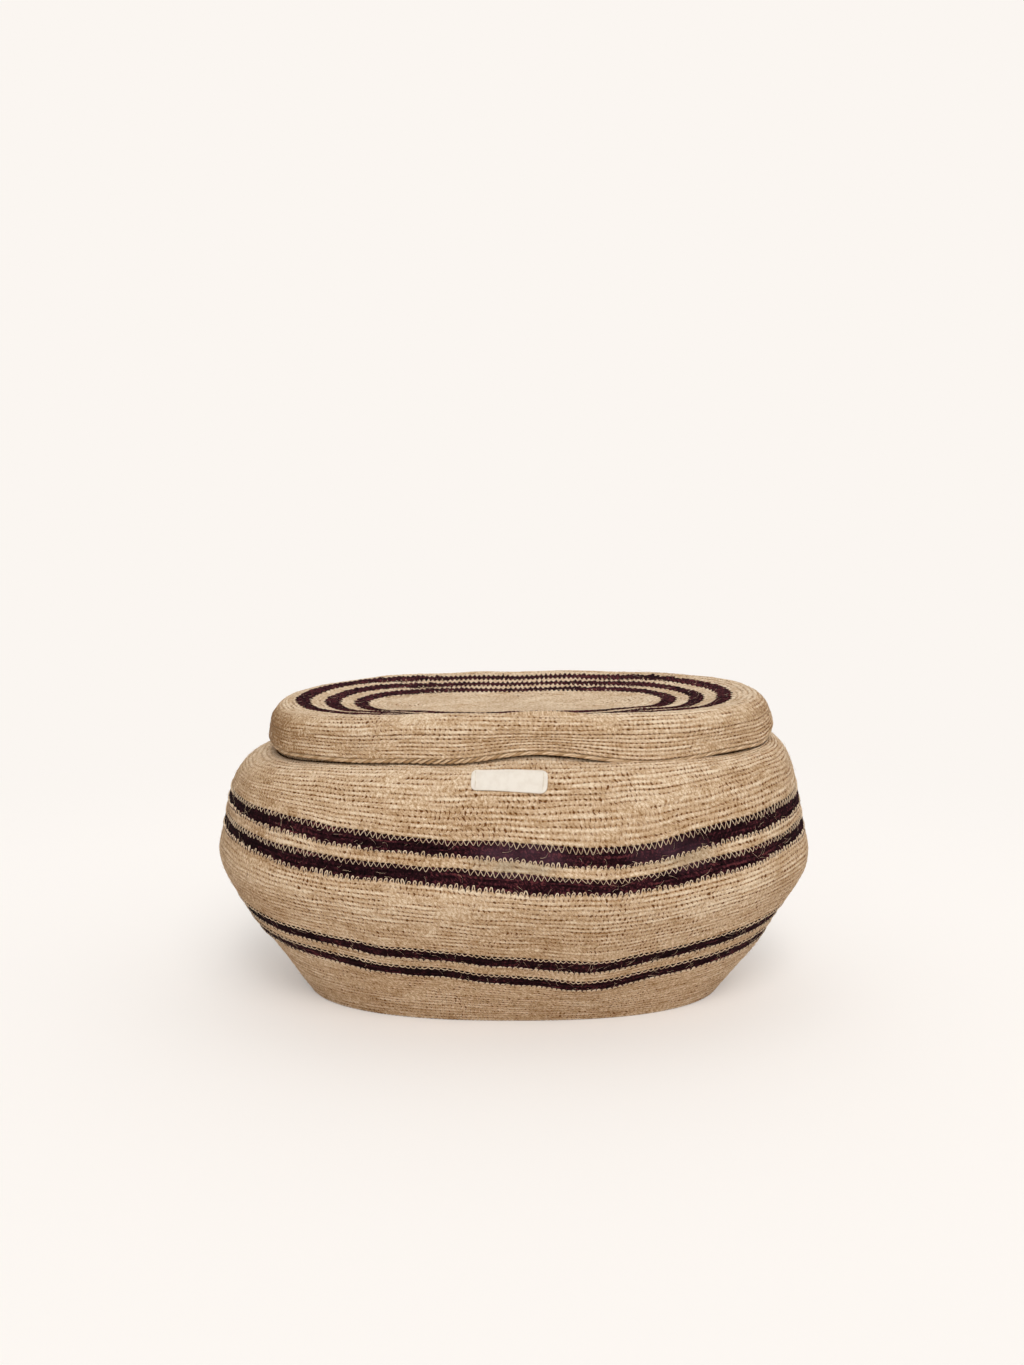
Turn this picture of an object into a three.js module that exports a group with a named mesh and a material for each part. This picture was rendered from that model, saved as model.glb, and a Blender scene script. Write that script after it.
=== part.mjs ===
import * as THREE from 'three';

// An oval lidded basket, coiled and stitched from seagrass in natural and dyed bands.
// Millimetres, +Z up. The long side lies along X, the front faces -Y, and the origin is on
// the floor under the middle of the base.

// The oval, which every coil row follows
const coreHalfLength = 70; // half of the straight line that the first coil is wound along
const ovalPower = 2.35; // squareness of the outer rows
const ovalFullRadius = 105; // distance from the core line where a row reaches that squareness
const wallThickness = 5; // one coil with its stitches
const baseThickness = 5;

// The outside of the body, as half-lengths at heights above the floor
const baseHalfLength = 173.5;
const flareHalfLength = 207;
const flareHeight = 50;
const bellyHalfLength = 243;
const bellyHeight = 110;
const sideHalfLength = 241.5;
const sideHeight = 145;
const shoulderHalfLength = 226.5;
const shoulderHeight = 200;
const neckHeight = 211;

// Stripes of the body, as lengths up the wall from the edge of the base
const lowStripesStart = 62;
const lowStripeWidth = 12;
const lowStripeGap = 10;
const bellyStripesStart = 156;
const bellyStripeWidth = 13.8;
const bellyStripeGap = 8.8;
const lowRowRise = 14; // how far the rows of the low stripes climb at the two ends of the oval
const bellyRowRise = 9.5;

// The lid
const lidHalfLength = 208;
const lidThickness = 5;
const lidClearance = 2.2; // all round, between the collar and the inside of the skirt
const skirtDepth = 37; // from the crest of the lid to the underside of its edge cord
const edgeGap = 1.3; // between the foot of the collar and the underside of the edge cord
const crestRadius = 14; // rounding between the skirt and the top
const dishDepth = 10; // how far the middle of the top lies below its crest
const mouthDroop = 3; // how far the two ends of the mouth and the lid hang below their middle
const outerRingHalfLength = 181;
const ringWidth = 12;
const ringGap = 11.2;
const cordBulge = 0.8; // how far the edge cord stands out of the skirt
const rimBulge = 1.1; // how far the coil on the mouth stands out of the collar
const seatGap = 0.35; // between the rim and the lid that rests on it

// The sewn label
const labelLength = 57;
const labelWidth = 19;
const labelThickness = 0.8;
const labelLeftRadius = 2.5; // of the corners of its left end
const labelRightRadius = 5;
const labelOffset = -4; // from the middle of the front
const labelTop = 15; // from the foot of the collar down the shoulder to the label's top edge
const labelTurn = 2; // degrees that its right end hangs lower
const labelGap = 0.45; // between the label and the smooth surface of the wall
const stitchInset = 3.2; // from the label's end to its row of stitches
const stitchMargin = 2.5; // from the label's long edges to the row
const stitchWidth = 1.2;
const stitchHeight = 0.7;
const stitchDip = 0.45; // share of its height that a stitch loses where it goes into the label
const stitchGap = 0.3;
const stitchesPerEnd = 5;

// Fineness of the surfaces
const segmentsRound = 56; // a multiple of four
const rowStep = 16; // longest step up a wall
const shoulderRowStep = 11.2; // shorter where the wall turns in to the neck
const arcSteps = 5;
const labelRows = 4;
const stitchStep = 0.25; // share of a stitch
const halvings = 30; // of a range in which a place is searched

const natural = { color: 0xc8a987, roughness: 0.85 };
const dyed = { color: 0x3a1e25, roughness: 0.8 };
const cream = { color: 0xf0e4d4, roughness: 0.9 };
const thread = { color: 0xe6dac6, roughness: 0.8 };

// Point at a share of the quarter between the end of the oval, 0, and the middle of its side, 1,
// on a row at a distance from the core line. Rows near the core are round-ended, and the outer
// ones are superellipses. Shares are lengths along the row.
function quarterPoint(radius, share) {
  const length = coreHalfLength + radius;
  const roundEnd = (radius * Math.PI) / 2;
  const along = share * (roundEnd + coreHalfLength);
  const angle = Math.min(along, roundEnd) / radius;
  const straight = Math.max(0, along - roundEnd);
  const stadium = [coreHalfLength + radius * Math.cos(angle) - straight, radius * Math.sin(angle)];
  const superellipse = superellipsePoint(length, radius, share);
  const weight = Math.min(1, radius / ovalFullRadius) ** 2;
  return stadium.map((value, axis) => THREE.MathUtils.lerp(value, superellipse[axis], weight));
}

function superellipsePoint(halfLength, halfWidth, share) {
  const samples = 160;
  const points = [];
  const lengths = [0];
  for (let i = 0; i <= samples; i++) {
    const angle = (Math.PI / 2) * (i / samples);
    const x = halfLength * Math.abs(Math.cos(angle)) ** (2 / ovalPower);
    const y = halfWidth * Math.abs(Math.sin(angle)) ** (2 / ovalPower);
    points.push([i === samples ? 0 : x, y]);
    if (i > 0) {
      const [lastX, lastY] = points[i - 1];
      lengths.push(lengths[i - 1] + Math.hypot(points[i][0] - lastX, points[i][1] - lastY));
    }
  }
  const target = share * lengths[samples];
  let i = 1;
  while (i < samples && lengths[i] < target) i++;
  const between = (target - lengths[i - 1]) / (lengths[i] - lengths[i - 1]);
  return points[i].map((value, axis) => THREE.MathUtils.lerp(points[i - 1][axis], value, between));
}

// One closed row of points. sectionAt(share) gives [half-length, height] of the row at that
// share of the quarter, and droopWeight says how much of the droop of the mouth it follows.
function row(sectionAt, droopWeight = 1) {
  const points = [];
  for (let i = 0; i < segmentsRound; i++) {
    const turn = (4 * i) / segmentsRound;
    const quarter = Math.floor(turn);
    const share = quarter % 2 === 0 ? turn - quarter : 1 - (turn - quarter);
    const signX = quarter === 0 || quarter === 3 ? 1 : -1;
    const signY = quarter < 2 ? 1 : -1;
    const [halfLength, height] = sectionAt(share);
    const [x, y] = quarterPoint(halfLength - coreHalfLength, share);
    points.push(new THREE.Vector3(signX * x, signY * y, height - droopWeight * droop(x)));
  }
  return points;
}

function levelRow(halfLength, height, droopWeight = 1) {
  return row(() => [halfLength, height], droopWeight);
}

function droop(x) {
  return mouthDroop * (x / lidHalfLength) ** 2;
}

// Faces between two rows, on the left of the way from the first row to the second
function addBand(triangles, first, second) {
  const count = first.length;
  for (let i = 0; i < count; i++) {
    const next = (i + 1) % count;
    if (first[i].distanceToSquared(second[next]) < second[i].distanceToSquared(first[next])) {
      triangles.push([first[i], first[next], second[next]], [first[i], second[next], second[i]]);
    } else {
      triangles.push([first[i], first[next], second[i]], [first[next], second[next], second[i]]);
    }
  }
}

// A flat strip fill across the oval inside one row
function addFill(triangles, points, facesUp) {
  const count = points.length;
  for (let i = 0; i < count / 2; i++) {
    const corners = [points[i], points[i + 1], points[count - i - 1], points[(count - i) % count]];
    if (!facesUp) corners.reverse();
    for (const [a, b, c] of [[0, 1, 2], [0, 2, 3]]) {
      const face = [corners[a], corners[b], corners[c]];
      if (new Set(face).size === 3) triangles.push(face);
    }
  }
}

function solid(name, look, triangles) {
  const indexOf = new Map();
  const positions = [];
  const indices = triangles.flat().map((point) => {
    if (!indexOf.has(point)) {
      indexOf.set(point, positions.length / 3);
      positions.push(point.x, point.y, point.z);
    }
    return indexOf.get(point);
  });
  const geometry = new THREE.BufferGeometry();
  geometry.setAttribute('position', new THREE.Float32BufferAttribute(positions, 3));
  geometry.setIndex(indices);
  geometry.computeVertexNormals();
  const mesh = new THREE.Mesh(geometry, new THREE.MeshStandardMaterial({ ...look, metalness: 0 }));
  mesh.name = name;
  return mesh;
}

// A closed ring: its section runs up the outside, down the inside and back along the bottom
function ringSolid(name, look, rows) {
  const triangles = [];
  rows.forEach((points, i) => addBand(triangles, points, rows[(i + 1) % rows.length]));
  return solid(name, look, triangles);
}

// An oval plate: rows from the bottom outwards, up the edge and inwards over the top
function plateSolid(name, look, rows) {
  const triangles = [];
  addFill(triangles, rows[0], false);
  for (let i = 1; i < rows.length; i++) addBand(triangles, rows[i - 1], rows[i]);
  addFill(triangles, rows[rows.length - 1], true);
  return solid(name, look, triangles);
}

// The body's wall, seen in section
const collarHalfLength = lidHalfLength - lidThickness - lidClearance;
const wallCurve = new THREE.SplineCurve([
  new THREE.Vector2(baseHalfLength, 0),
  new THREE.Vector2(flareHalfLength, flareHeight),
  new THREE.Vector2(bellyHalfLength, bellyHeight),
  new THREE.Vector2(sideHalfLength, sideHeight),
  new THREE.Vector2(shoulderHalfLength, shoulderHeight),
  new THREE.Vector2(collarHalfLength, neckHeight),
]);
const wallLength = wallCurve.getLength();

function outerWall(length) {
  const place = THREE.MathUtils.clamp(length / wallLength, 0, 1);
  return wallCurve.getPointAt(place).toArray();
}

function innerWall(length) {
  const place = THREE.MathUtils.clamp(length / wallLength, 0, 1);
  const point = wallCurve.getPointAt(place);
  const along = wallCurve.getTangentAt(place);
  return [point.x - wallThickness * along.y, point.y + wallThickness * along.x];
}

const lowStripesEnd = lowStripesStart + 2 * lowStripeWidth + lowStripeGap;
const bellyStripesEnd = bellyStripesStart + 2 * bellyStripeWidth + bellyStripeGap;
const droopFullLength = (bellyStripesEnd + wallLength) / 2; // the wall above here droops in full

// How far a row climbs at the ends of the oval, by its length up the wall
function rowRise(length) {
  const { lerp, smoothstep } = THREE.MathUtils;
  const lowMiddle = (lowStripesStart + lowStripesEnd) / 2;
  if (length < lowMiddle) return lowRowRise * smoothstep(length, 0, lowMiddle);
  if (length < bellyStripesEnd) {
    return lerp(lowRowRise, bellyRowRise, smoothstep(length, lowMiddle, bellyStripesStart));
  }
  return bellyRowRise * (1 - smoothstep(length, bellyStripesEnd, wallLength));
}

function wallDroop(length) {
  return THREE.MathUtils.smoothstep(length, bellyStripesEnd, droopFullLength);
}

function wallRow(side, length) {
  const rise = rowRise(length);
  return row((share) => side(length + rise * Math.cos(Math.PI * share)), wallDroop(length));
}

function steps(from, to, longest) {
  const count = Math.max(1, Math.ceil((to - from) / longest));
  return Array.from({ length: count + 1 }, (_, i) => THREE.MathUtils.lerp(from, to, i / count));
}

function wallBand(name, look, from, to) {
  const lengths = steps(from, to, rowStep);
  const outside = lengths.map((length) => wallRow(outerWall, length));
  const inside = lengths.map((length) => wallRow(innerWall, length)).reverse();
  return ringSolid(name, look, [...outside, ...inside]);
}

function lowerWall() {
  const lengths = steps(0, lowStripesStart, rowStep);
  const outside = lengths.map((length) => wallRow(outerWall, length));
  const inside = lengths.slice(1).map((length) => wallRow(innerWall, length)).reverse();
  return ringSolid('lower_wall', natural, [...outside, ...inside, ...baseEdge().reverse()]);
}

// The two rows where the base meets the inside of the wall, from the floor up
function baseEdge() {
  const halfLength = baseHalfLength - wallThickness;
  return [levelRow(halfLength, 0, 0), levelRow(halfLength, baseThickness, 0)];
}

function basePanel() {
  return plateSolid('base_panel', natural, baseEdge());
}

// The collar stands on the shoulder under the lid's skirt, and leans in to the mouth
const cordBottom = neckHeight + edgeGap;
const crestHeight = cordBottom + skirtDepth;
const crestHalfLength = lidHalfLength - crestRadius;
const rimRadius = wallThickness / 2 + rimBulge;
const rimHeight = crestHeight - lidThickness - seatGap - rimRadius;
const collarTop = rimHeight - Math.sqrt(rimRadius ** 2 - (wallThickness / 2) ** 2);

function neckEdge() {
  return [
    levelRow(collarHalfLength, neckHeight),
    levelRow(collarHalfLength - wallThickness, neckHeight),
  ];
}

function shoulderWall() {
  const lengths = steps(bellyStripesEnd, wallLength, shoulderRowStep).slice(0, -1);
  const outside = lengths.map((length) => wallRow(outerWall, length));
  const inside = lengths.map((length) => wallRow(innerWall, length)).reverse();
  return ringSolid('shoulder_wall', natural, [...outside, ...neckEdge(), ...inside]);
}

function neckCollar() {
  const [outerFoot, innerFoot] = neckEdge();
  const top = [
    levelRow(crestHalfLength + wallThickness / 2, collarTop),
    levelRow(crestHalfLength - wallThickness / 2, collarTop),
  ];
  return ringSolid('neck_collar', natural, [outerFoot, ...top, innerFoot]);
}

// Rows round a coil of which a flat as wide as the wall lies against its neighbour
function coilRows(halfLength, height, radius, flat, from, to) {
  const flatAngle = Math.acos(flat / 2 / radius);
  const [start, end] = [from - flatAngle, to + flatAngle];
  return steps(start, end, (end - start) / (arcSteps + 2)).map((angle) => {
    return levelRow(halfLength + radius * Math.cos(angle), height + radius * Math.sin(angle));
  });
}

function mouthRim() {
  const rows = coilRows(crestHalfLength, rimHeight, rimRadius, wallThickness, 0, Math.PI);
  return ringSolid('mouth_rim', natural, rows);
}

// The lid, seen in section
const cordRadius = lidThickness / 2 + cordBulge;
const cordHeight = cordBottom + cordRadius;
const skirtBottom = cordHeight + Math.sqrt(cordRadius ** 2 - (lidThickness / 2) ** 2);
const crestCentreHeight = crestHeight - crestRadius;

function topRow(halfLength) {
  const share = (halfLength - coreHalfLength) / (crestHalfLength - coreHalfLength);
  return levelRow(halfLength, crestHeight - dishDepth * (1 - share ** 2));
}

function undersideRow(halfLength) {
  return topRow(halfLength).map((point) => point.clone().setZ(point.z - lidThickness));
}

function crestRows(radius) {
  return steps(0, Math.PI / 2, Math.PI / 2 / arcSteps).map((angle) => {
    const halfLength = crestHalfLength + radius * Math.cos(angle);
    return levelRow(halfLength, crestCentreHeight + radius * Math.sin(angle));
  });
}

function lidEdgeCord() {
  const halfLength = lidHalfLength - lidThickness / 2;
  const rows = coilRows(halfLength, cordHeight, cordRadius, lidThickness, Math.PI, 2 * Math.PI);
  return ringSolid('lid_edge_cord', natural, rows);
}

function lidSkirt() {
  const heights = steps(skirtBottom, crestCentreHeight, rowStep);
  const outside = heights.map((height) => levelRow(lidHalfLength, height));
  const inside = heights.map((height) => levelRow(lidHalfLength - lidThickness, height)).reverse();
  return ringSolid('lid_skirt', natural, [...outside, ...inside]);
}

function lidShoulder() {
  const outside = [...crestRows(crestRadius), topRow(outerRingHalfLength)];
  const inside = [...crestRows(crestRadius - lidThickness), undersideRow(outerRingHalfLength)];
  return ringSolid('lid_shoulder', natural, [...outside, ...inside.reverse()]);
}

function lidRing(name, look, outerHalfLength, innerHalfLength) {
  return ringSolid(name, look, [
    undersideRow(outerHalfLength),
    topRow(outerHalfLength),
    topRow(innerHalfLength),
    undersideRow(innerHalfLength),
  ]);
}

function lidCentre(edgeHalfLength) {
  const halfLengths = [1, 2, 3].map((third) => {
    return coreHalfLength + ((edgeHalfLength - coreHalfLength) * third) / 3;
  });
  const underside = halfLengths.map(undersideRow);
  const top = halfLengths.map(topRow).reverse();
  return plateSolid('lid_centre', natural, [...underside, ...top]);
}

// The label lies on the shoulder. Its own directions are across, along X, and down the wall.
function labelPoint(across, down, lift) {
  const turn = THREE.MathUtils.degToRad(labelTurn);
  const x = labelOffset + across * Math.cos(turn) - down * Math.sin(turn);
  const length = wallLength - labelTop - down * Math.cos(turn) - across * Math.sin(turn);
  const [outside, inside] = [outerWall(length), innerWall(length)];
  const distance = lift / wallThickness;
  const halfLength = outside[0] + (outside[0] - inside[0]) * distance;
  const height = outside[1] + (outside[1] - inside[1]) * distance;
  return new THREE.Vector3(x, -sideAt(halfLength, x), height - wallDroop(length) * droop(x));
}

// Half-width of the oval of a given half-length, at a place along X
function sideAt(halfLength, x) {
  let [low, high] = [0.5, 1];
  for (let i = 0; i < halvings; i++) {
    const middle = (low + high) / 2;
    if (quarterPoint(halfLength - coreHalfLength, middle)[0] > Math.abs(x)) low = middle;
    else high = middle;
  }
  return quarterPoint(halfLength - coreHalfLength, high)[1];
}

// A thin sheet between two lifts off the wall. Each column is [across, top, bottom].
function patchSolid(name, look, columns, rowsDown, lifts) {
  const layers = lifts.map((lift) => columns.map(([across, top, bottom]) => {
    return Array.from({ length: rowsDown + 1 }, (_, j) => {
      return labelPoint(across, THREE.MathUtils.lerp(top, bottom, j / rowsDown), lift);
    });
  }));
  const triangles = [];
  const quad = (a, b, c, d) => triangles.push([a, b, c], [a, c, d]);
  const [under, over] = layers;
  const lastColumn = columns.length - 1;
  for (let i = 0; i < lastColumn; i++) {
    for (let j = 0; j < rowsDown; j++) {
      quad(over[i][j], over[i][j + 1], over[i + 1][j + 1], over[i + 1][j]);
      quad(under[i][j], under[i + 1][j], under[i + 1][j + 1], under[i][j + 1]);
    }
    quad(over[i][0], over[i + 1][0], under[i + 1][0], under[i][0]);
    quad(under[i][rowsDown], under[i + 1][rowsDown], over[i + 1][rowsDown], over[i][rowsDown]);
  }
  for (let j = 0; j < rowsDown; j++) {
    quad(under[0][j], under[0][j + 1], over[0][j + 1], over[0][j]);
    quad(over[lastColumn][j], over[lastColumn][j + 1], under[lastColumn][j + 1], under[lastColumn][j]);
  }
  return solid(name, look, triangles);
}

function frontLabel() {
  const shares = [0, 0.15, 0.45, 1];
  const left = shares.map((share) => share * labelLeftRadius);
  const right = shares.map((share) => labelLength - share * labelRightRadius).reverse();
  const middle = steps(labelLeftRadius, labelLength - labelRightRadius, rowStep).slice(1, -1);
  const columns = [...left, ...middle, ...right].map((along) => {
    const onLeft = along < labelLength / 2;
    const radius = onLeft ? labelLeftRadius : labelRightRadius;
    const fromEnd = onLeft ? along : labelLength - along;
    const short = Math.max(0, radius - fromEnd);
    const cut = radius - Math.sqrt(radius ** 2 - short ** 2);
    return [along - labelLength / 2, cut, labelWidth - cut];
  });
  const lifts = [labelGap, labelGap + labelThickness];
  return patchSolid('front_label', cream, columns, labelRows, lifts);
}

// A row of stitches down one end of the label, thicker over each stitch than between them
function labelStitch(name, side) {
  const across = side * (labelLength / 2 - stitchInset);
  const bottom = labelWidth - stitchMargin;
  const under = labelGap + labelThickness + stitchGap;
  const triangles = [];
  const rings = steps(0, stitchesPerEnd, stitchStep).map((count) => {
    const height = stitchHeight * (1 - stitchDip * (1 - Math.sin(Math.PI * (count % 1))));
    const down = THREE.MathUtils.lerp(stitchMargin, bottom, count / stitchesPerEnd);
    return [
      labelPoint(across - stitchWidth / 2, down, under),
      labelPoint(across + stitchWidth / 2, down, under),
      labelPoint(across + stitchWidth / 4, down, under + height),
      labelPoint(across - stitchWidth / 4, down, under + height),
    ];
  });
  for (let i = 1; i < rings.length; i++) {
    const [above, below] = [rings[i - 1], rings[i]];
    for (let j = 0; j < 4; j++) {
      const next = (j + 1) % 4;
      triangles.push([above[j], above[next], below[next]], [above[j], below[next], below[j]]);
    }
  }
  const [first, last] = [rings[0], rings[rings.length - 1]];
  triangles.push([first[0], first[3], first[2]], [first[0], first[2], first[1]]);
  triangles.push([last[0], last[1], last[2]], [last[0], last[2], last[3]]);
  return solid(name, thread, triangles);
}

const lowGapStart = lowStripesStart + lowStripeWidth;
const lowGapEnd = lowGapStart + lowStripeGap;
const bellyGapStart = bellyStripesStart + bellyStripeWidth;
const bellyGapEnd = bellyGapStart + bellyStripeGap;

const basket = new THREE.Group();
basket.add(
  basePanel(),
  lowerWall(),
  wallBand('lower_stripe_bottom', dyed, lowStripesStart, lowGapStart),
  wallBand('lower_stripe_gap', natural, lowGapStart, lowGapEnd),
  wallBand('lower_stripe_top', dyed, lowGapEnd, lowStripesEnd),
  wallBand('belly_wall', natural, lowStripesEnd, bellyStripesStart),
  wallBand('belly_stripe_bottom', dyed, bellyStripesStart, bellyGapStart),
  wallBand('belly_stripe_gap', natural, bellyGapStart, bellyGapEnd),
  wallBand('belly_stripe_top', dyed, bellyGapEnd, bellyStripesEnd),
  shoulderWall(),
  neckCollar(),
  mouthRim(),
  frontLabel(),
  labelStitch('label_stitch_left', -1),
  labelStitch('label_stitch_right', 1),
);

const ringNames = ['outer', 'middle', 'inner'];
const lid = new THREE.Group();
lid.add(lidEdgeCord(), lidSkirt(), lidShoulder());
let ringEdge = outerRingHalfLength;
ringNames.forEach((name, i) => {
  lid.add(lidRing(`lid_ring_${name}`, dyed, ringEdge, ringEdge - ringWidth));
  ringEdge -= ringWidth;
  if (i < ringNames.length - 1) {
    lid.add(lidRing(`lid_gap_${name}`, natural, ringEdge, ringEdge - ringGap));
    ringEdge -= ringGap;
  }
});
lid.add(lidCentre(ringEdge));

const object = new THREE.Group();
object.add(basket, lid);

export default object;
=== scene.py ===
"""An oval lidded basket of coiled and stitched seagrass, dressed row by row and stitch by stitch.

Lengths in the code are millimetres, and the meshes are made in metres. A place on the basket is
a turn, from 0 at the right end over 1 at the back, 2 at the left end and 3 at the front to 4,
and a length along the section of the wall or the lid. Rows of coil count upwards from the start
of their band, and stitches count round the oval.
"""

import math

import bpy
import numpy as np
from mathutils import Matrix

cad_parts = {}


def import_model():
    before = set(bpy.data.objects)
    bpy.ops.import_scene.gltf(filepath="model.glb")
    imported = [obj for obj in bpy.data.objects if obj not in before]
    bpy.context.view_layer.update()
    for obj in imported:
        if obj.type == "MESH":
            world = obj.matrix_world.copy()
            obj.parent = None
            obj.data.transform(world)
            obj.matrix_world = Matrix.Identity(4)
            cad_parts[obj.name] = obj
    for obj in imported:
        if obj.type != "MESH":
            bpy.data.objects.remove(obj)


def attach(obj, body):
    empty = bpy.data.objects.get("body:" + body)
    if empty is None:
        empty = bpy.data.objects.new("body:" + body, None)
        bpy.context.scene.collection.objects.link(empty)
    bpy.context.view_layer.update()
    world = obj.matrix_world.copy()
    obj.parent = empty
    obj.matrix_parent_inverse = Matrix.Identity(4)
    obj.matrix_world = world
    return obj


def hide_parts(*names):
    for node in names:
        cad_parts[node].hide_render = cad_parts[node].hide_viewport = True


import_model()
scene = bpy.context.scene
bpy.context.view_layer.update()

PI = math.pi

# The oval and the sections, as in the solids
CORE = 70
OVAL_POWER = 2.35
OVAL_FULL_RADIUS = 105
LARGEST_RADIUS = 215  # that a place may stand off the core line
THICKNESS = 5
WALL_STATIONS = [(173.5, 0), (207, 50), (243, 110), (241.5, 145), (226.5, 200), (200.8, 211)]
LOW_STRIPES = (62, 74, 84, 96)
BELLY_STRIPES = (156, 169.8, 178.6, 192.4)
LOW_ROW_RISE = 14
BELLY_ROW_RISE = 9.5
LID_END = 208  # half its length
SKIRT_BOTTOM = 217.75
CREST_RADIUS = 14
SKIRT_LEAN = (0.6, -1.6)  # of the bottom and the top of the skirt, as it is worn
CREST_HEIGHT = 249.3
DISH_DEPTH = 10
MOUTH_DROOP = 3
COLLAR_FOOT = (200.8, 211)
COLLAR_TOP = (196.5, 237.76)
RIM_CENTRE = (194, 240.35)
RIM_RADIUS = 3.6
CORD_CENTRE = (205.5, 215.6)
RING_EDGES = (181, 169, 157.8, 145.8, 134.6, 122.6)
BASE_EDGE = 168.5

# Stitching
STITCH = 3.7  # width of one stitch along its row
FINE_ROW_PARTS = (0, 0.15, 0.38, 0.62, 0.85)  # where the vertices stand within a row
PLAIN_ROW_PARTS = (0, 0.3, 0.7)

rng = np.random.default_rng(20)


def ease(value, low, high):
    """0 up to low and 1 from high, with a smooth rise between them."""
    part = np.clip((value - low) / (high - low), 0, 1)
    return part * part * (3 - 2 * part)


def bell(value, middle, width):
    return np.exp(-(((value - middle) / width) ** 2))


def lerp(first, second, part):
    return first + (second - first) * part


def stack(*parts):
    return np.stack(parts, -1)


def unit(vectors):
    return vectors / (np.linalg.norm(vectors, axis=-1, keepdims=True) + 1e-12)


class Ripple:
    """A smooth random value of about unit size over a closed band."""

    def __init__(self, waves, most_rounds, height):
        self.waves = list(zip(rng.integers(1, most_rounds + 1, waves),
                              rng.normal(0, 2 * PI / height, waves),
                              rng.uniform(0, 2 * PI, waves)))

    def __call__(self, turn, length):
        total = sum(np.sin(rounds * turn * PI / 2 + climb * length + start)
                    for rounds, climb, start in self.waves)
        return total * math.sqrt(2 / len(self.waves))


def oval_table():
    """The oval's plan, by distance from the core line and share of a quarter."""
    radii = np.arange(0, LARGEST_RADIUS + 2)
    shares = np.linspace(0, 1, 401)
    table = np.zeros((len(radii), len(shares), 2))
    angles = (1 - np.cos(np.linspace(0, PI, 1201))) / 2 * PI / 2
    for i, radius in enumerate(np.maximum(radii, 0.02)):
        round_end = radius * PI / 2
        along = shares * (round_end + CORE)
        angle = np.minimum(along, round_end) / radius
        straight = np.maximum(0, along - round_end)
        stadium = stack(CORE + radius * np.cos(angle) - straight, radius * np.sin(angle))
        x = (CORE + radius) * np.abs(np.cos(angles)) ** (2 / OVAL_POWER)
        y = radius * np.abs(np.sin(angles)) ** (2 / OVAL_POWER)
        x[-1] = 0
        lengths = np.concatenate([[0], np.cumsum(np.hypot(np.diff(x), np.diff(y)))])
        place = shares * lengths[-1]
        power_oval = stack(np.interp(place, lengths, x), np.interp(place, lengths, y))
        table[i] = lerp(stadium, power_oval, min(1, radius / OVAL_FULL_RADIUS) ** 2)
    return table


OVAL = oval_table()


def share_of(turn):
    """The share of a quarter from its nearer end of the oval, and the quarter's number."""
    quarter = np.floor(turn % 4).astype(int)
    part = turn % 4 - quarter
    return np.where(quarter % 2 == 0, part, 1 - part), quarter


def plan(radius, turn):
    """The place at a distance from the core line."""
    share, quarter = share_of(turn)
    row = np.clip(radius, 0, LARGEST_RADIUS)
    column = share * (OVAL.shape[1] - 1)
    i = np.minimum(row.astype(int), OVAL.shape[0] - 2)
    j = np.minimum(column.astype(int), OVAL.shape[1] - 2)
    p, q = (row - i)[..., None], (column - j)[..., None]
    near = lerp(OVAL[i, j], OVAL[i, j + 1], q)
    far = lerp(OVAL[i + 1, j], OVAL[i + 1, j + 1], q)
    point = lerp(near, far, p)
    sign_x = np.where(quarter % 3 == 0, 1, -1)
    sign_y = np.where(quarter < 2, 1, -1)
    return sign_x * point[..., 0], sign_y * point[..., 1]


class Section:
    """A section of half-lengths and heights, read by its own length."""

    def __init__(self, points):
        points = np.array(points, float)
        steps = np.hypot(*np.diff(points, axis=0).T)
        self.lengths = np.concatenate([[0], np.cumsum(steps)])
        self.points = points
        self.length = self.lengths[-1]
        tangents = np.gradient(points, self.lengths, axis=0)
        tangents /= np.hypot(tangents[:, 0], tangents[:, 1])[:, None]
        self.normals = stack(tangents[:, 1], -tangents[:, 0])

    def read(self, length):
        return [np.interp(length, self.lengths, value)
                for value in (*self.points.T, *self.normals.T)]


def smooth_curve(stations, steps=400):
    """The curve through the stations whose tangents are the chords of their neighbours."""
    p = np.array([stations[0], *stations, stations[-1]], float)
    t = np.linspace(0, 1, steps, endpoint=False)[:, None]
    points = []
    for a, b, c, d in zip(p, p[1:], p[2:], p[3:]):
        start, end = (c - a) / 2, (d - b) / 2
        cubic = (2 * b - 2 * c + start + end) * t**3
        points.append(cubic + (3 * c - 3 * b - 2 * start - end) * t**2 + start * t + b)
    return np.concatenate([*points, p[-1:]])


def lid_outline():
    crest = LID_END - CREST_RADIUS
    centre_height = CREST_HEIGHT - CREST_RADIUS
    points = [(LID_END + lerp(*SKIRT_LEAN, part), lerp(SKIRT_BOTTOM, centre_height, part))
              for part in np.linspace(0, 1, 60)]
    for angle in np.linspace(0, PI / 2, 60)[1:]:
        points.append((crest + (CREST_RADIUS + SKIRT_LEAN[1]) * math.cos(angle),
                       centre_height + CREST_RADIUS * math.sin(angle)))
    for half in np.linspace(crest, CORE, 400)[1:]:
        share = (half - CORE) / (crest - CORE)
        points.append((half, CREST_HEIGHT - DISH_DEPTH * (1 - share**2)))
    return points


WALL = Section(smooth_curve(WALL_STATIONS))
LID = Section(lid_outline())
COLLAR = Section(np.linspace(COLLAR_FOOT, COLLAR_TOP, 20))
BASE = Section([(half, 0) for half in np.linspace(CORE, BASE_EDGE, 50)])

# The lid's section starts at the bottom of the skirt
CREST_START = CREST_HEIGHT - CREST_RADIUS - SKIRT_BOTTOM


def lid_length(half):
    """Length along the lid's section of a place on its top."""
    top = LID.lengths > CREST_START + 10
    return float(np.interp(-half, -LID.points[top, 0], LID.lengths[top]))


RING_LENGTHS = [lid_length(edge) for edge in RING_EDGES]

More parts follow.
